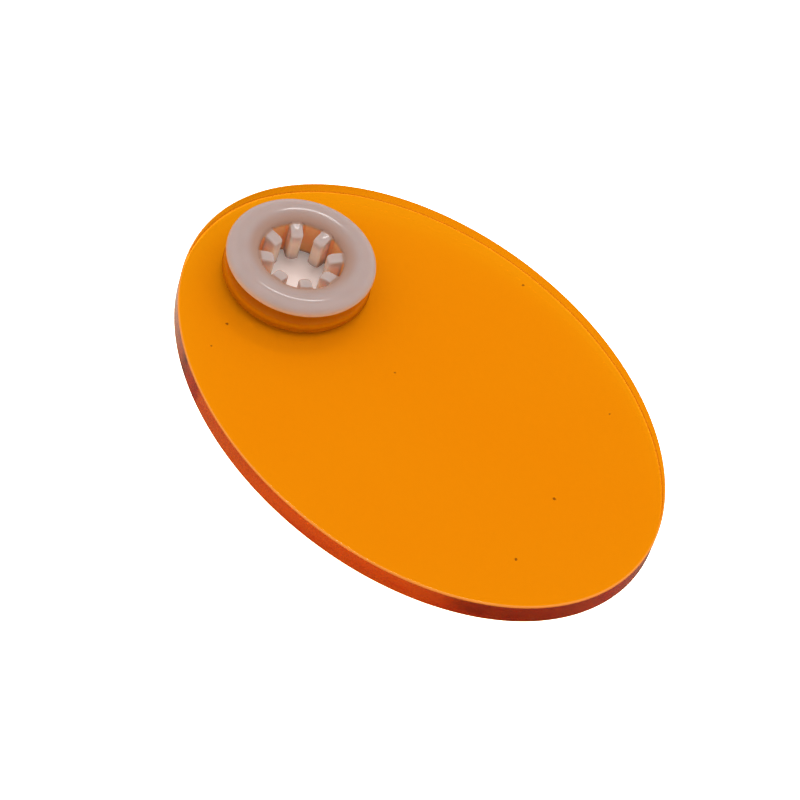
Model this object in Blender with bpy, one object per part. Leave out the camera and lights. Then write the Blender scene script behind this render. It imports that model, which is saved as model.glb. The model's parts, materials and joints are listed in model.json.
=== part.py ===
"""Oval eye shield for a light guide: a tinted clear plate and the soft collar that grips the guide.

Units are metres, +Z is up. The plate lies level with its long axis on X and its centre over the
origin. The collar's lower flange stands on Z = 0, and the plate turns about the collar's axis, on
which both pieces have their own origin.
"""
import math

import bmesh
import bpy
from mathutils import Vector

MM = 0.001
GAP = 0.3 * MM

# The plate: a flat ellipse with a round hole near one end.
PLATE_LENGTH = 80.0 * MM
PLATE_WIDTH = 58.8 * MM
PLATE_THICKNESS = 3.3 * MM
PLATE_CHAMFER = 0.2 * MM
PLATE_STEPS = 120

# The collar: a neck through the hole, and one domed flange on each side of the plate.
COLLAR_CENTRE_X = -26.5 * MM
FLANGE_RADIUS = 10.7 * MM
FLANGE_HEIGHT = 2.1 * MM
RIM_HEIGHT = 0.75 * MM
LAND_OUTER_RADIUS = 8.9 * MM
LAND_INNER_RADIUS = 8.3 * MM
BORE_RADIUS = 6.0 * MM
BORE_EDGE_HEIGHT = 0.9 * MM
NECK_RADIUS = 7.0 * MM
HOLE_RADIUS = NECK_RADIUS + GAP

# The fingers: straight-sided ribs on the bore's wall that bend to grip the guide.
FINGERS = 8
FINGER_WIDTH = 1.8 * MM
FINGER_TIP_RADIUS = 3.8 * MM
FINGER_HEIGHT = 1.3 * MM
FINGER_PHASE = math.radians(12.5)

# Heights that follow from the sizes above.
PLATE_BOTTOM = FLANGE_HEIGHT
PLATE_TOP = PLATE_BOTTOM + PLATE_THICKNESS
PLATE_MIDDLE = PLATE_BOTTOM + PLATE_THICKNESS / 2
HALF_PLATE = PLATE_THICKNESS / 2
SWIVEL = Vector((COLLAR_CENTRE_X, 0.0, PLATE_MIDDLE))

RIM_STEPS = 3
DOME_STEPS = 5
ENTRY_STEPS = 4


def clear_scene():
    """Remove the objects that the file starts with."""
    for item in list(bpy.data.objects):
        bpy.data.objects.remove(item, do_unlink=True)


def arc(centre, half_sizes, start, end, steps):
    """Points (radius, height) along an elliptical arc, angles in degrees, both ends included."""
    points = []
    for step in range(steps + 1):
        angle = math.radians(start + (end - start) * step / steps)
        radius = centre[0] + half_sizes[0] * math.cos(angle)
        height = centre[1] + half_sizes[1] * math.sin(angle)
        points.append((radius, height))
    return points


def ring_solid(name, loops, material):
    """Make one closed ring-shaped body from loops of points, with its own origin on the swivel.

    Each loop runs anticlockwise seen from above and has as many points as the next one. The
    loops follow the body's section: up its outer side, inwards over the top, down its inner
    side, and back out underneath to the first loop.
    """
    shape = bmesh.new()
    rings = [[shape.verts.new(Vector(point) - SWIVEL) for point in loop] for loop in loops]
    for lower, upper in zip(rings, rings[1:] + rings[:1]):
        for index, corner in enumerate(lower):
            following = (index + 1) % len(lower)
            shape.faces.new((corner, lower[following], upper[following], upper[index]))
    mesh = bpy.data.meshes.new(name)
    shape.to_mesh(mesh)
    shape.free()
    mesh.shade_smooth()
    mesh.set_sharp_from_angle(angle=math.radians(35))
    mesh.materials.append(material)
    body = bpy.data.objects.new(name, mesh)
    body.location = SWIVEL
    bpy.context.collection.objects.link(body)
    return body


def surface(name, colour, roughness, transmission):
    """A Principled material in one colour."""
    material = bpy.data.materials.new(name)
    material.use_nodes = True
    shader = material.node_tree.nodes["Principled BSDF"]
    shader.inputs["Base Color"].default_value = (*colour, 1.0)
    shader.inputs["Roughness"].default_value = roughness
    shader.inputs["Metallic"].default_value = 0.0
    shader.inputs["Transmission Weight"].default_value = transmission
    return material


def ellipse_loop(inset, height):
    """The plate's outline, brought in by inset, at one height."""
    points = []
    for step in range(PLATE_STEPS):
        angle = 2 * math.pi * step / PLATE_STEPS
        x = (PLATE_LENGTH / 2 - inset) * math.cos(angle)
        y = (PLATE_WIDTH / 2 - inset) * math.sin(angle)
        points.append((x, y, height))
    return points


def hole_loop(radius, height):
    """The plate's hole, with each point on the line to its own point of the outline."""
    points = []
    for x, y, _ in ellipse_loop(0.0, height):
        angle = math.atan2(y, x - COLLAR_CENTRE_X)
        hole_x = COLLAR_CENTRE_X + radius * math.cos(angle)
        hole_y = radius * math.sin(angle)
        points.append((hole_x, hole_y, height))
    return points


def make_plate():
    """The tinted plate, with its edges broken by a small chamfer."""
    lower = PLATE_BOTTOM + PLATE_CHAMFER
    upper = PLATE_TOP - PLATE_CHAMFER
    loops = [
        ellipse_loop(PLATE_CHAMFER, PLATE_BOTTOM),
        ellipse_loop(0.0, lower),
        ellipse_loop(0.0, upper),
        ellipse_loop(PLATE_CHAMFER, PLATE_TOP),
        hole_loop(HOLE_RADIUS + PLATE_CHAMFER, PLATE_TOP),
        hole_loop(HOLE_RADIUS, upper),
        hole_loop(HOLE_RADIUS, lower),
        hole_loop(HOLE_RADIUS + PLATE_CHAMFER, PLATE_BOTTOM),
    ]
    tint = surface("orange_acrylic", (0.90, 0.28, 0.01), 0.05, 0.9)
    return ring_solid("shield_plate", loops, tint)


def finger_outline():
    """One finger's share of the bore, from one gap's middle to the next, as (radius, angle, top).

    The top is the height at which the bore's wall or the finger ends, above the plate's middle.
    """
    pitch = 2 * math.pi / FINGERS
    wall_top = HALF_PLATE + BORE_EDGE_HEIGHT
    top = HALF_PLATE + FINGER_HEIGHT
    root = math.asin(FINGER_WIDTH / 2 / BORE_RADIUS)
    side_radius = (BORE_RADIUS + FINGER_TIP_RADIUS) / 2
    side = math.asin(FINGER_WIDTH / 2 / side_radius)
    tip = math.asin(FINGER_WIDTH / 2 / FINGER_TIP_RADIUS)
    gap_quarter = (pitch / 2 + root) / 2
    return [
        (BORE_RADIUS, -pitch / 2, wall_top),
        (BORE_RADIUS, -gap_quarter, wall_top),
        (BORE_RADIUS, -root, top),
        (side_radius, -side, top),
        (FINGER_TIP_RADIUS, -tip, top),
        (FINGER_TIP_RADIUS, 0.0, top),
        (FINGER_TIP_RADIUS, tip, top),
        (side_radius, side, top),
        (BORE_RADIUS, root, top),
        (BORE_RADIUS, gap_quarter, wall_top),
    ]


def collar_point(radius, angle, height):
    """A point of the collar, with its height measured from the plate's middle."""
    x = COLLAR_CENTRE_X + radius * math.cos(angle)
    y = radius * math.sin(angle)
    return (x, y, PLATE_MIDDLE + height)


def round_loop(radius, height):
    """A plain circle of the collar, with as many points as the fingered bore has."""
    steps = FINGERS * len(finger_outline())
    start = FINGER_PHASE - math.pi / FINGERS
    return [
        collar_point(radius, start + 2 * math.pi * step / steps, height) for step in range(steps)
    ]


def fingered_loop(side):
    """The upper (side 1) or lower (side -1) edge of the bore and its fingers."""
    points = []
    for finger in range(FINGERS):
        middle = FINGER_PHASE + 2 * math.pi * finger / FINGERS
        for radius, angle, top in finger_outline():
            points.append(collar_point(radius, middle + angle, top * side))
    return points


def flange_section():
    """The upper flange's section from the neck round to just above the bore's edge.

    Each point is (radius, height above the plate's middle).
    """
    underside = HALF_PLATE + GAP
    widest = HALF_PLATE + RIM_HEIGHT
    land = HALF_PLATE + FLANGE_HEIGHT
    edge = HALF_PLATE + BORE_EDGE_HEIGHT
    rim_round = widest - underside
    section = [(NECK_RADIUS, underside)]
    section += arc((FLANGE_RADIUS - rim_round, widest), (rim_round, rim_round), -90, 0, RIM_STEPS)
    dome_width = FLANGE_RADIUS - LAND_OUTER_RADIUS
    section += arc((LAND_OUTER_RADIUS, widest), (dome_width, land - widest), 0, 90, DOME_STEPS)[1:]
    entry_width = LAND_INNER_RADIUS - BORE_RADIUS
    section += arc((LAND_INNER_RADIUS, edge), (entry_width, land - edge), 90, 180, ENTRY_STEPS)[:-1]
    return section


def make_collar():
    """The soft one-piece collar: neck, two flanges and the fingers in its bore."""
    section = flange_section()
    upper = [round_loop(radius, height) for radius, height in section]
    lower = [round_loop(radius, -height) for radius, height in reversed(section)]
    loops = upper + [fingered_loop(1), fingered_loop(-1)] + lower
    silicone = surface("milky_silicone", (0.50, 0.41, 0.38), 0.4, 0.0)
    return ring_solid("finger_collar", loops, silicone)


clear_scene()
make_plate()
make_collar()
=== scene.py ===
"""Looks of an oval eye shield: a tinted clear plate and the soft milky collar that grips a light guide.

Units are metres and +Z is up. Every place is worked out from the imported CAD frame, and the sizes
below are only those that the frame's boxes don't give.
"""
import json
import math
import random

import bmesh
import bpy
from mathutils import Matrix, Quaternion, Vector


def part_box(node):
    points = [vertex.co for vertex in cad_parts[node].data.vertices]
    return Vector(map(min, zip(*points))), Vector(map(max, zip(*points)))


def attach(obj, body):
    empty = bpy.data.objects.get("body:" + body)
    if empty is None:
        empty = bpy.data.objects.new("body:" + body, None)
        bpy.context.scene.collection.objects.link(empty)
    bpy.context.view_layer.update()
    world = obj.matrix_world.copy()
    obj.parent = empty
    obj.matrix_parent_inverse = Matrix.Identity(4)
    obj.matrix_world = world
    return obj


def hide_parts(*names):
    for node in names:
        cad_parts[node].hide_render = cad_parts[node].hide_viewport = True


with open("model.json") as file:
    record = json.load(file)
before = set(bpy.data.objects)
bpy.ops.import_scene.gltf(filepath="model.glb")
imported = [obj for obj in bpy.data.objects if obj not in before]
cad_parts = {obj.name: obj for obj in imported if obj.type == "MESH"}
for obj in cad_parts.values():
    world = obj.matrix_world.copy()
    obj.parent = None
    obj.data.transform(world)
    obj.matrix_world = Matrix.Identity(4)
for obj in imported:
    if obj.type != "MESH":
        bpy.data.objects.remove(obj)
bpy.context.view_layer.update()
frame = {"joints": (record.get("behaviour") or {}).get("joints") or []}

MM = 0.001

# The plate's edges, softened after cutting.
PLATE_STEPS = 360
TOP_EDGE_ROUND = 0.2 * MM
BOTTOM_EDGE_ROUND = 0.06 * MM
PLATE_EDGE_STEPS = 5
PLATE_EDGE_MARGIN = 1.3
HOLE_RADIUS = 7.25 * MM

# The collar's section. Heights are above the plate's faces.
NECK_RADIUS = 7.15 * MM
NECK_ROUND = 0.12 * MM
FLANGE_LIFT = 0.04 * MM
SEAT_RADIUS = 10.0 * MM
RIM_HEIGHT = 0.75 * MM
CREST_RADIUS = 8.5 * MM
CREST_FLATNESS = 0.5 * MM
BORE_RADIUS = 6.05 * MM
BORE_EDGE_HEIGHT = 0.9 * MM
BORE_EDGE_ROUND = 0.85 * MM

# The fingers in the bore.
FINGERS = 8
FINGER_WIDTH = 1.78 * MM
FINGER_TIP_RADIUS = 3.8 * MM
FINGER_ROOT_RADIUS = 6.18 * MM
FINGER_BLEND = 0.03 * MM
FINGER_BLEND_REACH = 0.2
FINGER_TOP_DROP = 0.25 * MM
FINGER_TOP_POWER = 3.0
FINGER_TIP_DEPTH = 0.6 * MM
FINGER_EDGE_ROUND = 0.35 * MM
FINGER_CORNER_ROUND = 0.5 * MM
FINGER_ROOT_ROUND = 0.6 * MM
FINGER_PHASE = math.radians(12.5)

# The camera's turn about its aim point and its roll in degrees, its distance in metres, its lens
# in mm, and the aim point, measured from the plate's centre.
CAMERA_AZIMUTH = 35.2
CAMERA_ELEVATION = 48.57
CAMERA_ROLL = 18.48
CAMERA_DISTANCE = 0.5504
CAMERA_LENS = 180.0
CAMERA_AIM = Vector((-0.68, -2.9, 0.0)) * MM


# ---------------------------------------------------------------- mesh helpers

def ring_solid(name, loops):
    """One closed ring-shaped mesh from loops of points, each anticlockwise seen from above.

    The loops follow the body's section: up its outer side, inwards over the top, down its inner
    side, and back out underneath to the first loop.
    """
    shape = bmesh.new()
    rings = [[shape.verts.new(point) for point in loop] for loop in loops]
    for lower, upper in zip(rings, rings[1:] + rings[:1]):
        for index, corner in enumerate(lower):
            following = (index + 1) % len(lower)
            shape.faces.new((corner, lower[following], upper[following], upper[index]))
    mesh = bpy.data.meshes.new(name)
    shape.to_mesh(mesh)
    shape.free()
    mesh.shade_smooth()
    piece = bpy.data.objects.new(name, mesh)
    bpy.context.scene.collection.objects.link(piece)
    return piece


def arc(centre, half_sizes, start, end, steps):
    """Points (radius, height) along an elliptical arc, angles in degrees, both ends included."""
    points = []
    for step in range(steps + 1):
        angle = math.radians(start + (end - start) * step / steps)
        radius = centre[0] + half_sizes[0] * math.cos(angle)
        height = centre[1] + half_sizes[1] * math.sin(angle)
        points.append((radius, height))
    return points


def bend(start, start_handle, end_handle, end, steps):
    """Points along a smooth bend that is steered by two handles, both ends included."""
    corners = (start, start_handle, end_handle, end)
    points = []
    for step in range(steps + 1):
        t = step / steps
        weights = ((1 - t) ** 3, 3 * t * (1 - t) ** 2, 3 * t * t * (1 - t), t ** 3)
        radius = sum(weight * point[0] for weight, point in zip(weights, corners))
        height = sum(weight * point[1] for weight, point in zip(weights, corners))
        points.append((radius, height))
    return points


# ---------------------------------------------------------------- the plate

plate_low, plate_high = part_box("shield_plate")
plate_centre = (plate_low + plate_high) / 2
half_length = (plate_high.x - plate_low.x) / 2
half_width = (plate_high.y - plate_low.y) / 2
half_plate = (plate_high.z - plate_low.z) / 2
swivel = Vector(frame["joints"][0]["pos_m"])


def ellipse_loop(inset, height):
    """The plate's outline, brought in by inset, at one height."""
    points = []
    for step in range(PLATE_STEPS):
        angle = 2 * math.pi * step / PLATE_STEPS
        x = plate_centre.x + (half_length - inset) * math.cos(angle)
        y = plate_centre.y + (half_width - inset) * math.sin(angle)
        points.append((x, y, height))
    return points


def hole_loop(radius, height):
    """The plate's hole, with each point on the line to its own point of the outline."""
    points = []
    for x, y, _ in ellipse_loop(0.0, height):
        angle = math.atan2(y - swivel.y, x - swivel.x)
        points.append((swivel.x + radius * math.cos(angle), swivel.y + radius * math.sin(angle), height))
    return points


def edge_round(upper):
    """(inset, height) down one rounded edge of the plate, from the face's rim to the wall."""
    face = plate_high.z if upper else plate_low.z
    inwards = -1 if upper else 1
    size = TOP_EDGE_ROUND if upper else BOTTOM_EDGE_ROUND
    steps = [(size * PLATE_EDGE_MARGIN, face)]
    for step in range(PLATE_EDGE_STEPS + 1):
        angle = math.pi / 2 * step / PLATE_EDGE_STEPS
        inset = size * (1 - math.sin(angle))
        sunk = size * (1 - math.cos(angle))
        steps.append((inset, face + inwards * sunk))
    steps.append((0.0, face + inwards * size * PLATE_EDGE_MARGIN))
    return steps


def make_plate():
    """The tinted plate with fine rounded edges, in place of the CAD plate."""
    top = edge_round(True)
    bottom = edge_round(False)
    loops = [ellipse_loop(inset, height) for inset, height in bottom]
    loops += [ellipse_loop(inset, height) for inset, height in reversed(top)]
    loops += [hole_loop(HOLE_RADIUS + inset, height) for inset, height in top]
    loops += [hole_loop(HOLE_RADIUS + inset, height) for inset, height in reversed(bottom)]
    return ring_solid("tinted_plate", loops)


# ---------------------------------------------------------------- the collar

collar_low, collar_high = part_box("finger_collar")
flange_radius = (collar_high.x - collar_low.x) / 2
land = collar_high.z - plate_centre.z
bore_edge = half_plate + BORE_EDGE_HEIGHT

# The slope from the crest, over a rounded shoulder and into the bore.
slope = bend(
    (CREST_RADIUS, land), (CREST_RADIUS - CREST_FLATNESS, land),
    (BORE_RADIUS, bore_edge + BORE_EDGE_ROUND), (BORE_RADIUS, bore_edge), 60,
)


def slope_height(radius):
    """Height of the slope above the plate's middle at a radius."""
    for (outer, upper), (inner, lower) in zip(slope, slope[1:]):
        if inner <= radius <= outer and outer > inner:
            return lower + (upper - lower) * (radius - inner) / (outer - inner)
    return bore_edge


def wall_radius(height):
    """Radius of the slope, or of the bore's wall below it, at a height above the plate's middle."""
    for (outer, upper), (inner, lower) in zip(slope, slope[1:]):
        if lower <= height <= upper and upper > lower:
            return inner + (outer - inner) * (height - lower) / (upper - lower)
    return BORE_RADIUS


finger_reach = FINGER_ROOT_RADIUS - FINGER_TIP_RADIUS
finger_level = slope_height(FINGER_ROOT_RADIUS) - FINGER_BLEND
tip_level = finger_level - FINGER_TIP_DEPTH

# Where the loops cross a finger's top, as shares of the way from its root to its tip, and where
# they cross its tip face, as shares of that face's height above the plate's middle.
TOP_SHARES = (0.12, 0.2, 0.3, 0.4, 0.5, 0.6, 0.69, 0.77, 0.84, 0.9, 0.94, 0.97, 0.985, 0.996, 1.0)
TIP_SHARES = (0.75, 0.45, 0.15)

GAP_STEPS = 12
ROOT_STEPS = 6
SIDE_STEPS = 5
CORNER_STEPS = 6
TIP_STEPS = 6


def finger_top(radius):
    """Height of a finger's top face: off the slope in a bend, almost level, then over a round tip."""
    reach = min(max((FINGER_ROOT_RADIUS - radius) / finger_reach, 0.0), 1.0)
    crown = (1 - reach ** FINGER_TOP_POWER) ** (1 / FINGER_TOP_POWER)
    blend = FINGER_BLEND * max(1 - reach / FINGER_BLEND_REACH, 0.0) ** 2
    return tip_level + FINGER_TIP_DEPTH * crown + blend - FINGER_TOP_DROP * reach


def finger_crown():
    """(tip radius, height) of the loops that climb down a finger, from its root to mid-height."""
    contours = []
    for reach in TOP_SHARES:
        radius = FINGER_ROOT_RADIUS - finger_reach * reach
        contours.append((radius, finger_top(radius)))
    tip_bottom = contours[-1][1]
    for share in TIP_SHARES:
        contours.append((FINGER_TIP_RADIUS, tip_bottom * share))
    return contours


def rounded_back(depth):
    """How far a finger's rounded side still stands back, at a depth below its top face."""
    left = 1 - min(max(depth / FINGER_EDGE_ROUND, 0.0), 1.0)
    return FINGER_EDGE_ROUND * (1 - math.sqrt(1 - left * left))


def finger_half(tip_radius, height):
    """Half of one finger's outline at a height, as (x, y) from its tip's middle to its root."""
    wall = wall_radius(height)
    length = wall - tip_radius

    def half_width(x):
        return FINGER_WIDTH / 2 - rounded_back(finger_top(x) - height)

    corner = min(FINGER_CORNER_ROUND, length * 0.6, half_width(tip_radius) * 0.9)
    root = min(FINGER_ROOT_ROUND, length * 0.3)
    tip_half = half_width(tip_radius) - corner
    points = []
    for step in range(TIP_STEPS // 2 + 1):
        points.append((tip_radius, tip_half * step / (TIP_STEPS // 2)))
    for step in range(1, CORNER_STEPS + 1):
        angle = math.pi / 2 * step / CORNER_STEPS
        x = tip_radius + corner * (1 - math.cos(angle))
        points.append((x, half_width(x) - corner * (1 - math.sin(angle))))
    side_start = tip_radius + corner
    side_end = wall - root
    for step in range(1, SIDE_STEPS + 1):
        x = side_start + (side_end - side_start) * step / SIDE_STEPS
        points.append((x, half_width(x)))
    for step in range(1, ROOT_STEPS + 1):
        angle = math.pi / 2 * step / ROOT_STEPS
        x = side_end + root * math.sin(angle)
        points.append((x, half_width(x) + root * (1 - math.cos(angle))))
    return points


def finger_sector(tip_radius, height):
    """One finger's share of the bore, as (radius, angle) from one gap's middle to the next."""
    half = [(math.hypot(x, y), math.atan2(y, x)) for x, y in finger_half(tip_radius, height)]
    wall = wall_radius(height)
    root_angle = half[-1][1]
    half[-1] = (wall, root_angle)
    gap_end = math.pi / FINGERS
    for step in range(1, GAP_STEPS // 2 + 1):
        half.append((wall, root_angle + (gap_end - root_angle) * step / (GAP_STEPS // 2)))
    sector = [(radius, -angle) for radius, angle in reversed(half)]
    return sector + half[1:-1]


def collar_point(radius, angle, height):
    """A point of the collar, with its height measured from the plate's middle."""
    x = swivel.x + radius * math.cos(angle)
    y = swivel.y + radius * math.sin(angle)
    return (x, y, plate_centre.z + height)


def fingered_loop(tip_radius, height, side):
    """The bore's outline with its fingers, above (side 1) or below (side -1) the plate's middle."""
    sector = finger_sector(tip_radius, height)
    points = []
    for finger in range(FINGERS):
        middle = FINGER_PHASE + 2 * math.pi * finger / FINGERS
        for radius, angle in sector:
            points.append(collar_point(radius, middle + angle, height * side))
    return points


def round_loop(radius, height, share):
    """A plain circle of the collar: evenly spaced at share 0, spaced as the fingers are at share 1."""
    sector = finger_sector(*finger_crown()[0])
    pitch = 2 * math.pi / FINGERS
    points = []
    for finger in range(FINGERS):
        middle = FINGER_PHASE + pitch * finger
        for step, (_, at_edge) in enumerate(sector):
            even = pitch * (step / len(sector) - 0.5)
            points.append(collar_point(radius, middle + even + (at_edge - even) * share, height))
    return points


def flange_section():
    """The flange's section from the neck, round the rim and up to the crest, as (radius, height)."""
    underside = half_plate + FLANGE_LIFT
    widest = half_plate + RIM_HEIGHT
    section = [(NECK_RADIUS, underside - NECK_ROUND)]
    section += [(NECK_RADIUS + NECK_ROUND, underside)]
    section += [(NECK_RADIUS + 2 * NECK_ROUND, underside)]
    section += arc((SEAT_RADIUS, widest), (flange_radius - SEAT_RADIUS, widest - underside), -90, 0, 10)
    section += arc((CREST_RADIUS, widest), (flange_radius - CREST_RADIUS, land - widest), 0, 90, 24)[1:]
    return section


def entry_section():
    """The slope from just past the crest down to the fingers' roots, as (radius, height)."""
    above = [point for point in slope[1:] if point[0] > FINGER_ROOT_RADIUS + 0.05 * MM]
    return above[1::2] + [(FINGER_ROOT_RADIUS, slope_height(FINGER_ROOT_RADIUS))]


def make_collar():
    """The soft collar with its rounded fingers, in place of the CAD collar."""
    flange = flange_section()
    entry = entry_section()
    upper = [(radius, height, 0.0) for radius, height in flange]
    for step, (radius, height) in enumerate(entry):
        upper.append((radius, height, (step + 1) / len(entry)))
    contours = finger_crown()
    loops = [round_loop(radius, height, share) for radius, height, share in upper]
    loops += [fingered_loop(tip_radius, height, 1) for tip_radius, height in contours]
    loops += [fingered_loop(tip_radius, height, -1) for tip_radius, height in reversed(contours)]
    loops += [round_loop(radius, -height, share) for radius, height, share in reversed(upper)]
    return ring_solid("milky_collar", loops)


# ---------------------------------------------------------------- materials

class Nodes:
    """Short ways to add nodes to one material or world."""

    def __init__(self, owner):
        owner.use_nodes = True
        self.tree = owner.node_tree

    def add(self, kind, *links, **settings):
        """A new node with its settings, and with (socket, source or value) pairs put in."""
        node = self.tree.nodes.new(kind)
        for name, value in settings.items():
            setattr(node, name, value)
        for socket, source in links:
            if isinstance(source, bpy.types.NodeSocket):
                self.tree.links.new(source, node.inputs[socket])
            else:
                node.inputs[socket].default_value = source
        return node

    def maths(self, operation, first, second=0.0, third=0.0):
        """The result of one Math node."""
        links = ((0, first), (1, second), (2, third))
        return self.add("ShaderNodeMath", *links, operation=operation).outputs[0]

    def ramp(self, value, low, high, to_low=0.0, to_high=1.0):
        """A smooth step as value goes from low to high."""
        links = ((0, value), (1, low), (2, high), (3, to_low), (4, to_high))
        node = self.add("ShaderNodeMapRange", *links, interpolation_type="SMOOTHSTEP")
        return node.outputs[0]

    def mix(self, factor, first, second):
        """A mix of two colours."""
        node = self.add("ShaderNodeMix", (0, factor), (6, first), (7, second), data_type="RGBA")
        return node.outputs[2]

    def blend(self, factor, first, second):
        """A mix of two numbers."""
        return self.add("ShaderNodeMix", (0, factor), (2, first), (3, second)).outputs[0]

    def mirrored(self, path):
        """1 for rays that left a glossy surface by reflection, 0 for the others."""
        return self.maths("MULTIPLY", path.outputs["Is Reflection Ray"], path.outputs["Is Glossy Ray"])

    def noise(self, position, scale, detail):
        """Soft noise between 0 and 1."""
        links = ((0, position), ("Scale", scale), ("Detail", detail))
        return self.add("ShaderNodeTexNoise", *links).outputs[0]

    def place(self):
        """Position on the object, in metres, as on the CAD model at rest."""
        return self.add("ShaderNodeTexCoord").outputs["Object"]

    def scaled(self, position, factors):
        """Position stretched by a factor along each axis."""
        links = ((0, position), (1, factors))
        return self.add("ShaderNodeVectorMath", *links, operation="MULTIPLY").outputs[0]


def principled(name):
    """A new material, its nodes and its Principled shader."""
    material = bpy.data.materials.new(name)
    nodes = Nodes(material)
    return material, nodes, nodes.tree.nodes["Principled BSDF"]


# Dust on the plate's top face, scattered by a seeded draw and kept clear of the rim and the collar.
DUST_SEED = 5
DUST_SPECKS = 7
DUST_SMALLEST = 0.14 * MM
DUST_LARGEST = 0.26 * MM
DUST_REACH = 0.92
DUST_CLEARANCE = 3.0 * MM
DUST_RAGGEDNESS = 0.3 * MM
DUST_NOISE_SCALE = 3000.0

# How much of its size a speck fills, and where it has faded out.
DUST_EDGE = (0.7, 1.2)


def dust_specks():
    """(place, size) of each speck of dust."""
    draw = random.Random(DUST_SEED)
    specks = []
    while len(specks) < DUST_SPECKS:
        angle = draw.uniform(0.0, 2 * math.pi)
        reach = DUST_REACH * math.sqrt(draw.random())
        x = plate_centre.x + half_length * reach * math.cos(angle)
        y = plate_centre.y + half_width * reach * math.sin(angle)
        size = draw.uniform(DUST_SMALLEST, DUST_LARGEST)
        if math.hypot(x - swivel.x, y - swivel.y) > flange_radius + DUST_CLEARANCE:
            specks.append((Vector((x, y, plate_high.z)), size))
    return specks


def dust_mask(nodes, place):
    """1 on the dust specks of the plate's top face, 0 elsewhere."""
    ragged = nodes.add("ShaderNodeTexNoise", (0, place), ("Scale", DUST_NOISE_SCALE), ("Detail", 2.0))
    spread = (DUST_RAGGEDNESS, DUST_RAGGEDNESS, 0.0)
    shifted = nodes.add(
        "ShaderNodeVectorMath", (0, ragged.outputs["Color"]), (1, spread), (2, place),
        operation="MULTIPLY_ADD",
    ).outputs[0]
    filled, faded = DUST_EDGE
    mask = None
    for centre, size in dust_specks():
        away = nodes.add("ShaderNodeVectorMath", (0, shifted), (1, centre), operation="DISTANCE")
        speck = nodes.ramp(away.outputs["Value"], filled * size, faded * size, 1.0, 0.0)
        mask = speck if mask is None else nodes.maths("MAXIMUM", mask, speck)
    return mask


# Where the plate's outer wall begins, as shares of the way from its centre to its outline.
PLATE_WALL_START = (0.992, 0.9965)


def wall_mask(nodes, place):
    """1 on the plate's outer wall and its rounded edges, 0 on its faces."""
    middle = nodes.add("ShaderNodeVectorMath", (0, place), (1, plate_centre), operation="SUBTRACT")
    scaled = nodes.scaled(middle.outputs[0], (1 / half_length, 1 / half_width, 0.0))
    out = nodes.add("ShaderNodeVectorMath", (0, scaled), operation="LENGTH").outputs["Value"]
    return nodes.ramp(out, *PLATE_WALL_START)


# The acrylic: the tint of its faces with faint clouds, its outer wall, a peach painted highlight along
# its top edge, a darker painted shade along its bottom edge, and its dust.
FACE_TINT = (1.0, 0.36, 0.002, 1.0)
FACE_CLOUDS = (1.0, 0.39, 0.004, 1.0)
PLATE_WALL_TINT = (1.0, 0.52, 0.01, 1.0)
# The top edge's peach is a painted highlight, and the bottom edge's darker orange is a painted shade.
TOP_EDGE_HIGHLIGHT = (1.0, 0.32, 0.05, 1.0)
BOTTOM_EDGE_SHADE = (0.85, 0.34, 0.03, 1.0)
DUST_COLOUR = (0.16, 0.06, 0.02, 1.0)

# How far from the plate's faces the painted edge bands fade out and are whole, how strongly the bottom
# one clouds the acrylic, and how clear a painted edge band stays.
TOP_HIGHLIGHT_BAND = (0.32 * MM, 0.22 * MM)
BOTTOM_SHADE_BAND = (0.12 * MM, 0.06 * MM)
BOTTOM_SHADE_CLOUDING = 0.5
PAINTED_EDGE_CLEARNESS = 0.2

FACE_CLOUD_SCALE = 45.0
WALL_STREAK_SCALE = 240.0
WALL_STREAK_CONTRAST = (0.35, 0.65)
WALL_ROUGHNESS = (0.10, 0.20)
ACRYLIC_IOR = 1.49
ACRYLIC_GLOSS_TINT = (1.0, 0.62, 0.3, 1.0)
SHADOW_TINT = (0.99, 0.95, 0.8, 1.0)
ABSORPTION_COLOUR = (0.87, 0.47, 0.0, 1.0)
ABSORPTION_DENSITY = 60.0


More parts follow.
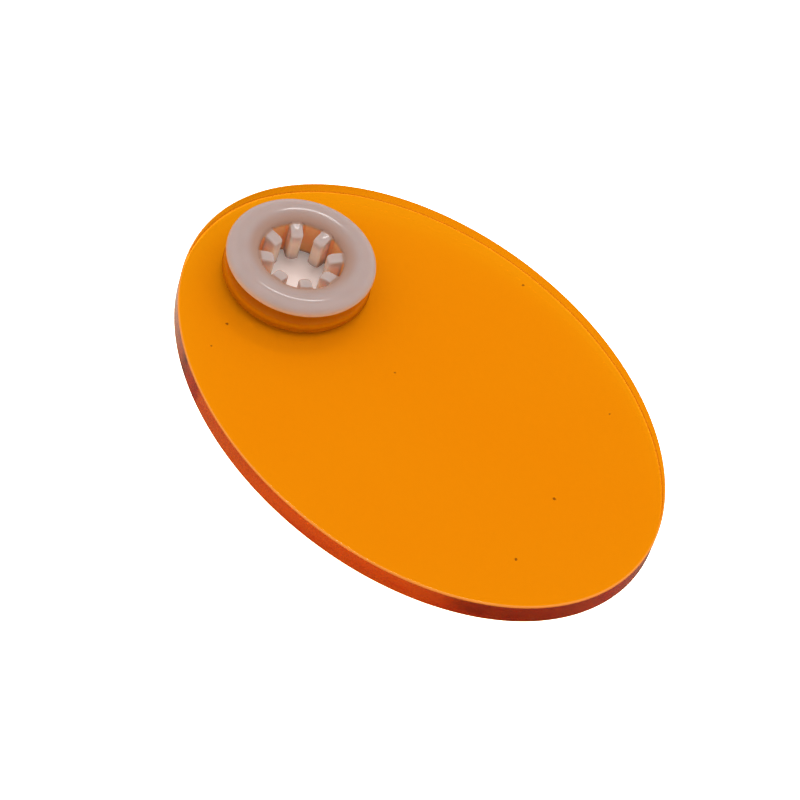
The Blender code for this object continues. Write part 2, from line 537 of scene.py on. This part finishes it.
def acrylic():
    """Clear orange acrylic: polished faces, a duller outer wall, a peach painted highlight along the top
    edge and a darker painted shade along the bottom edge.
    """
    material, nodes, shader = principled("orange_acrylic")
    place = nodes.place()
    height = nodes.add("ShaderNodeSeparateXYZ", (0, place)).outputs[2]
    wall = wall_mask(nodes, place)
    # Painted highlight: a peach band along the top edge, drawn as duller, less clear acrylic.
    top_fades, top_whole = TOP_HIGHLIGHT_BAND
    top_round = nodes.ramp(height, plate_high.z - top_fades, plate_high.z - top_whole)
    top_highlight = nodes.maths("MULTIPLY", wall, top_round)
    # Painted shade: a darker band along the bottom edge, drawn as clouded acrylic.
    low_fades, low_whole = BOTTOM_SHADE_BAND
    low_round = nodes.ramp(height, plate_low.z + low_whole, plate_low.z + low_fades, 1.0, 0.0)
    low_shade = nodes.maths("MULTIPLY", wall, low_round)

    colour = nodes.mix(nodes.noise(place, FACE_CLOUD_SCALE, 2.0), FACE_TINT, FACE_CLOUDS)
    colour = nodes.mix(wall, colour, PLATE_WALL_TINT)
    colour = nodes.mix(top_highlight, colour, TOP_EDGE_HIGHLIGHT)
    colour = nodes.mix(low_shade, colour, BOTTOM_EDGE_SHADE)
    colour = nodes.mix(dust_mask(nodes, place), colour, DUST_COLOUR)
    nodes.tree.links.new(colour, shader.inputs["Base Color"])

    streaks = nodes.noise(place, WALL_STREAK_SCALE, 2.0)
    streaks = nodes.ramp(streaks, *WALL_STREAK_CONTRAST, *WALL_ROUGHNESS)
    nodes.tree.links.new(nodes.maths("MULTIPLY", wall, streaks), shader.inputs["Roughness"])
    # The painted edge bands also let less light through.
    painted_edges = nodes.maths("MULTIPLY_ADD", low_shade, BOTTOM_SHADE_CLOUDING, top_highlight)
    clear = nodes.blend(painted_edges, 1.0, PAINTED_EDGE_CLEARNESS)
    nodes.tree.links.new(clear, shader.inputs["Transmission Weight"])
    shader.inputs["IOR"].default_value = ACRYLIC_IOR
    shader.inputs["Specular Tint"].default_value = ACRYLIC_GLOSS_TINT

    # Shadows and soft light go straight through the surface, and the volume tints them.
    path = nodes.add("ShaderNodeLightPath")
    through = nodes.maths("MAXIMUM", path.outputs["Is Shadow Ray"], path.outputs["Is Diffuse Ray"])
    passing = nodes.add("ShaderNodeBsdfTransparent", (0, SHADOW_TINT))
    links = ((0, through), (1, shader.outputs[0]), (2, passing.outputs[0]))
    mixed = nodes.add("ShaderNodeMixShader", *links)
    depth = nodes.add("ShaderNodeVolumeAbsorption", (0, ABSORPTION_COLOUR), (1, ABSORPTION_DENSITY))
    output = nodes.tree.nodes["Material Output"]
    nodes.tree.links.new(mixed.outputs[0], output.inputs["Surface"])
    nodes.tree.links.new(depth.outputs[0], output.inputs["Volume"])
    return material


# The silicone's colours: its milk with faint clouds, and painted light and shade on its parts: an orange
# glow on the fingers' middles and the bore's wall, a warm glow low on the upper rim, a paler neck and
# seat, and a browner slope.
MILK = (0.455, 0.345, 0.315, 1.0)
MILK_CLOUDS = (0.505, 0.39, 0.36, 1.0)
FINGER_END_TINT = (0.50, 0.40, 0.37, 1.0)
FINGER_MIDDLE_GLOW = (0.95, 0.68, 0.54, 1.0)
SLOPE_SHADE = (0.40, 0.22, 0.15, 1.0)
BORE_WALL_GLOW = (0.92, 0.46, 0.17, 1.0)
RIM_GLOW = (0.90, 0.50, 0.27, 1.0)
SEAT_LIGHT = (0.70, 0.64, 0.60, 1.0)
NECK_LIGHT = (0.90, 0.76, 0.66, 1.0)

# Where those parts begin and end, as radii from the swivel's axis.
FINGERS_END = (5.4 * MM, 6.0 * MM)
BORE_WALL_START = (5.65 * MM, 6.0 * MM)
BORE_WALL_END = (6.1 * MM, 6.6 * MM)
SLOPE_END = (6.2 * MM, 8.3 * MM)
SEAT_START = (6.8 * MM, 7.2 * MM)
NECK_START = (6.9 * MM, 7.1 * MM)
NECK_END = (7.2 * MM, 7.3 * MM)
RIM_START = (8.8 * MM, 10.2 * MM)

# The same as heights: from the plate's middle for the fingers, past either of its faces for the
# bore's wall and the rim, and above its lower face for the seat.
FINGER_MIDDLE_END = (0.5 * MM, 2.7 * MM)
BORE_WALL_TOP = (0.5 * MM, 1.25 * MM)
RIM_TOP = (0.2 * MM, 1.6 * MM)
SEAT_TOP = (-0.5 * MM, -0.1 * MM)

SLOPE_STRENGTH = 0.9
BORE_WALL_STRENGTH = 0.9
RIM_STRENGTH = 0.6

MILK_CLOUD_SCALE = 260.0
SILICONE_ROUGHNESS = 0.13
SILICONE_IOR = 1.43
SCATTER_RADIUS = (1.0, 0.7, 0.55)
SCATTER_SCALE = 2.0 * MM
GRAIN_SCALE = 1400.0
GRAIN_STRENGTH = 0.12
GRAIN_DEPTH = 0.02 * MM


def silicone_colour(nodes, place):
    """Milk, with painted light: an orange glow on the bore's wall and the fingers' middles, a warm glow
    low on the upper rim, a paler neck and seat; and painted shade, browner, on the slope.
    """
    across = nodes.add("ShaderNodeVectorMath", (0, place), (1, swivel), operation="SUBTRACT").outputs[0]
    flat = nodes.scaled(across, (1.0, 1.0, 0.0))
    radius = nodes.add("ShaderNodeVectorMath", (0, flat), operation="LENGTH").outputs["Value"]
    height = nodes.add("ShaderNodeSeparateXYZ", (0, across)).outputs[2]
    level = nodes.maths("ABSOLUTE", height)
    above_plate = nodes.maths("SUBTRACT", level, half_plate)

    colour = nodes.mix(nodes.noise(place, MILK_CLOUD_SCALE, 3.0), MILK, MILK_CLOUDS)
    # Painted light: the fingers glow orange in their middles, standing in for light through the plate.
    finger_middle = nodes.ramp(level, *FINGER_MIDDLE_END, 1.0, 0.0)
    finger = nodes.mix(finger_middle, FINGER_END_TINT, FINGER_MIDDLE_GLOW)
    colour = nodes.mix(nodes.ramp(radius, *FINGERS_END, 1.0, 0.0), colour, finger)

    past_fingers = nodes.ramp(radius, *BORE_WALL_START)
    # Painted shade: the slope from the crest into the bore is painted browner all round.
    slope = nodes.maths("MULTIPLY", past_fingers, nodes.ramp(radius, *SLOPE_END, 1.0, 0.0))
    colour = nodes.mix(nodes.maths("MULTIPLY", slope, SLOPE_STRENGTH), colour, SLOPE_SHADE)

    # Painted light: the bore's wall glows orange beside the plate, standing in for light through the
    # plate.
    wall = nodes.maths("MULTIPLY", past_fingers, nodes.ramp(radius, *BORE_WALL_END, 1.0, 0.0))
    deep = nodes.ramp(above_plate, *BORE_WALL_TOP, BORE_WALL_STRENGTH, 0.0)
    colour = nodes.mix(nodes.maths("MULTIPLY", wall, deep), colour, BORE_WALL_GLOW)

    # Painted light: a warm glow low on the upper rim, standing in for light bounced off the plate.
    upper = nodes.maths("GREATER_THAN", height, 0.0)
    low = nodes.ramp(above_plate, *RIM_TOP, RIM_STRENGTH, 0.0)
    rim = nodes.maths("MULTIPLY", nodes.maths("MULTIPLY", nodes.ramp(radius, *RIM_START), low), upper)
    colour = nodes.mix(rim, colour, RIM_GLOW)

    # Painted light: the lower flange's seat under the plate is painted paler, against the shade there.
    below = nodes.maths("LESS_THAN", height, 0.0)
    under = nodes.ramp(nodes.maths("ADD", height, half_plate), *SEAT_TOP)
    seat = nodes.maths("MULTIPLY", nodes.maths("MULTIPLY", nodes.ramp(radius, *SEAT_START), under), below)
    colour = nodes.mix(seat, colour, SEAT_LIGHT)

    # Painted light: the neck beside the plate is painted paler, standing in for light through the plate.
    neck_band = nodes.maths(
        "MULTIPLY", nodes.ramp(radius, *NECK_START), nodes.ramp(radius, *NECK_END, 1.0, 0.0)
    )
    beside_plate = nodes.maths("LESS_THAN", level, half_plate)
    neck = nodes.maths("MULTIPLY", neck_band, beside_plate)
    return nodes.mix(neck, colour, NECK_LIGHT)


def silicone():
    """Milky silicone that light sinks into, with a soft sheen and a fine grain."""
    material, nodes, shader = principled("milky_silicone")
    place = nodes.place()
    nodes.tree.links.new(silicone_colour(nodes, place), shader.inputs["Base Color"])
    shader.inputs["Roughness"].default_value = SILICONE_ROUGHNESS
    shader.inputs["IOR"].default_value = SILICONE_IOR
    shader.inputs["Subsurface Weight"].default_value = 1.0
    shader.inputs["Subsurface Radius"].default_value = SCATTER_RADIUS
    shader.inputs["Subsurface Scale"].default_value = SCATTER_SCALE
    grain = nodes.noise(place, GRAIN_SCALE, 3.0)
    links = (("Strength", GRAIN_STRENGTH), ("Distance", GRAIN_DEPTH), ("Height", grain))
    bump = nodes.add("ShaderNodeBump", *links)
    nodes.tree.links.new(bump.outputs[0], shader.inputs["Normal"])
    return material


# ---------------------------------------------------------------- studio

# The pale floor: its own level, the levels that the camera sees beside the part and in the bore,
# a faint glow that the camera sees and that tells only in the bore, and the levels in mirror
# reflections, which are paler by the collar.
FLOOR_SIZE = 12.0
FLOOR_LEVEL = (0.92, 0.92, 0.92, 1.0)
FLOOR_SEEN = (3.0, 3.0, 3.0, 1.0)
FLOOR_SEEN_IN_BORE = (0.95, 0.84, 0.80, 1.0)
FLOOR_GLOW_IN_BORE = (0.20, 0.165, 0.15, 1.0)
FLOOR_MIRRORED = (0.22, 0.21, 0.20, 1.0)
FLOOR_MIRRORED_BY_COLLAR = (0.62, 0.56, 0.54, 1.0)

# Where those levels change: the radius round the bore, and the distance from the plate's end.
BORE_VIEW_END = (7.0 * MM, 9.0 * MM)
COLLAR_MIRROR_END = (6.0 * MM, 20.0 * MM)

# Light from the sky: its level at the horizon, how much it grows overhead, how much it leans
# towards the brighter side of the room, and the level that the camera sees.
SKY_HORIZON = 0.49
SKY_RISE = 0.8
SKY_LEAN = 0.05
SKY_SEEN = 2.0

# The brighter side of the room. A dark flag hangs there too, and keeps the plate's top face free
# of glare: its elevation, how far from its middle it ends and is whole, and its level. All but the
# level are in degrees.
BRIGHT_AZIMUTH = 125.0
FLAG_ELEVATION = 48.0
FLAG_EDGE = 42.0
FLAG_CORE = 16.0
FLAG_LEVEL = 0.02

# The one lamp, a long softbox: its direction in degrees, distance, size and power.
KEY_AZIMUTH = 129.3
KEY_ELEVATION = 62.0
KEY_DISTANCE = 1.0
KEY_SIZE = (0.26, 0.05)
KEY_POWER = 0.85

RAY_BOUNCES = 32


def direction(azimuth, elevation):
    """The unit vector towards a place at that azimuth and elevation, in degrees, from +X."""
    a = math.radians(azimuth)
    e = math.radians(elevation)
    return Vector((math.cos(a) * math.cos(e), math.sin(a) * math.cos(e), math.sin(e)))


def make_floor():
    """A plain pale floor. It leans a little, so that both the collar and the plate's end rest on it."""
    contact = swivel.x + CREST_RADIUS
    lean = math.atan2(plate_low.z, plate_high.x - contact)
    shape = bmesh.new()
    bmesh.ops.create_grid(shape, x_segments=1, y_segments=1, size=FLOOR_SIZE)
    mesh = bpy.data.meshes.new("floor")
    shape.to_mesh(mesh)
    shape.free()
    floor = bpy.data.objects.new("floor", mesh)
    bpy.context.scene.collection.objects.link(floor)
    floor.matrix_world = Matrix.Translation((contact, 0, 0)) @ Matrix.Rotation(-lean, 4, "Y")
    material, nodes, shader = principled("pale_floor")
    place = nodes.add("ShaderNodeNewGeometry").outputs["Position"]
    bore = Vector((swivel.x, swivel.y, 0.0))
    away = nodes.add("ShaderNodeVectorMath", (0, place), (1, bore), operation="DISTANCE")
    outside = nodes.ramp(away.outputs["Value"], *BORE_VIEW_END)
    seen = nodes.mix(outside, FLOOR_SEEN_IN_BORE, FLOOR_SEEN)
    path = nodes.add("ShaderNodeLightPath")
    colour = nodes.mix(path.outputs["Is Camera Ray"], FLOOR_LEVEL, seen)
    along = nodes.add("ShaderNodeSeparateXYZ", (0, place)).outputs[0]
    from_end = nodes.maths("SUBTRACT", along, plate_low.x)
    inner = nodes.ramp(from_end, *COLLAR_MIRROR_END)
    mirrored = nodes.mix(inner, FLOOR_MIRRORED_BY_COLLAR, FLOOR_MIRRORED)
    colour = nodes.mix(nodes.mirrored(path), colour, mirrored)
    matt = nodes.add("ShaderNodeBsdfDiffuse", (0, colour))
    glow = nodes.add("ShaderNodeEmission", (0, FLOOR_GLOW_IN_BORE), (1, path.outputs["Is Camera Ray"]))
    both = nodes.add("ShaderNodeAddShader", (0, matt.outputs[0]), (1, glow.outputs[0]))
    nodes.tree.links.new(both.outputs[0], nodes.tree.nodes["Material Output"].inputs["Surface"])
    mesh.materials.append(material)


def make_world():
    """Pale light that grows from the horizon up. Mirror reflections also see one dark flag."""
    world = bpy.data.worlds.new("studio")
    nodes = Nodes(world)
    sky = nodes.add("ShaderNodeTexCoord").outputs["Generated"]
    flag = direction(BRIGHT_AZIMUTH, FLAG_ELEVATION)
    near = nodes.add("ShaderNodeVectorMath", (0, sky), (1, flag), operation="DOT_PRODUCT")
    edge = math.cos(math.radians(FLAG_EDGE))
    core = math.cos(math.radians(FLAG_CORE))
    flagged = nodes.ramp(near.outputs["Value"], edge, core)
    up = nodes.maths("MAXIMUM", nodes.add("ShaderNodeSeparateXYZ", (0, sky)).outputs[2], 0.0)
    lit = nodes.maths("ADD", nodes.maths("MULTIPLY", up, SKY_RISE), SKY_HORIZON)
    bright = direction(BRIGHT_AZIMUTH, 0.0)
    lean = nodes.add("ShaderNodeVectorMath", (0, sky), (1, bright), operation="DOT_PRODUCT")
    leaning = nodes.maths("MULTIPLY_ADD", lean.outputs["Value"], SKY_LEAN, 1.0)
    lit = nodes.maths("MULTIPLY", lit, leaning)
    path = nodes.add("ShaderNodeLightPath")
    level = nodes.blend(nodes.maths("MULTIPLY", nodes.mirrored(path), flagged), lit, FLAG_LEVEL)
    level = nodes.blend(path.outputs["Is Camera Ray"], level, SKY_SEEN)
    nodes.tree.links.new(level, nodes.tree.nodes["Background"].inputs["Strength"])
    nodes.tree.nodes["Background"].inputs["Color"].default_value = (1.0, 1.0, 1.0, 1.0)
    bpy.context.scene.world = world


def softbox(name, azimuth, elevation, distance, size, power):
    """A soft area light aimed at the object."""
    data = bpy.data.lights.new(name, "AREA")
    data.shape = "RECTANGLE"
    data.size, data.size_y = size
    data.energy = power
    lamp = bpy.data.objects.new(name, data)
    way = direction(azimuth, elevation)
    lamp.location = plate_centre + way * distance
    lamp.rotation_mode = "QUATERNION"
    lamp.rotation_quaternion = (-way).to_track_quat("-Z", "Y")
    bpy.context.scene.collection.objects.link(lamp)


def make_camera():
    """The camera, turned about its aim point and rolled."""
    back = direction(CAMERA_AZIMUTH - 90.0, CAMERA_ELEVATION)
    data = bpy.data.cameras.new("camera")
    data.sensor_width = 36.0
    data.lens = CAMERA_LENS
    data.clip_start = 0.01
    data.clip_end = 50.0
    camera = bpy.data.objects.new("camera", data)
    camera.location = plate_centre + CAMERA_AIM + back * CAMERA_DISTANCE
    camera.rotation_mode = "QUATERNION"
    level = (-back).to_track_quat("-Z", "Y")
    camera.rotation_quaternion = level @ Quaternion((0, 0, 1), math.radians(CAMERA_ROLL))
    bpy.context.scene.collection.objects.link(camera)
    bpy.context.scene.camera = camera


# ---------------------------------------------------------------- the whole

plate = make_plate()
plate.data.materials.append(acrylic())
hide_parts("shield_plate")
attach(plate, "shield")

collar = make_collar()
collar.data.materials.append(silicone())
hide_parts("finger_collar")
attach(collar, "collar")

make_floor()
make_world()
make_camera()
softbox("key", KEY_AZIMUTH, KEY_ELEVATION, KEY_DISTANCE, KEY_SIZE, KEY_POWER)

scene = bpy.context.scene
scene.view_settings.view_transform = "Standard"
scene.cycles.max_bounces = RAY_BOUNCES
scene.cycles.glossy_bounces = RAY_BOUNCES
scene.cycles.transmission_bounces = RAY_BOUNCES
scene.cycles.transparent_max_bounces = RAY_BOUNCES
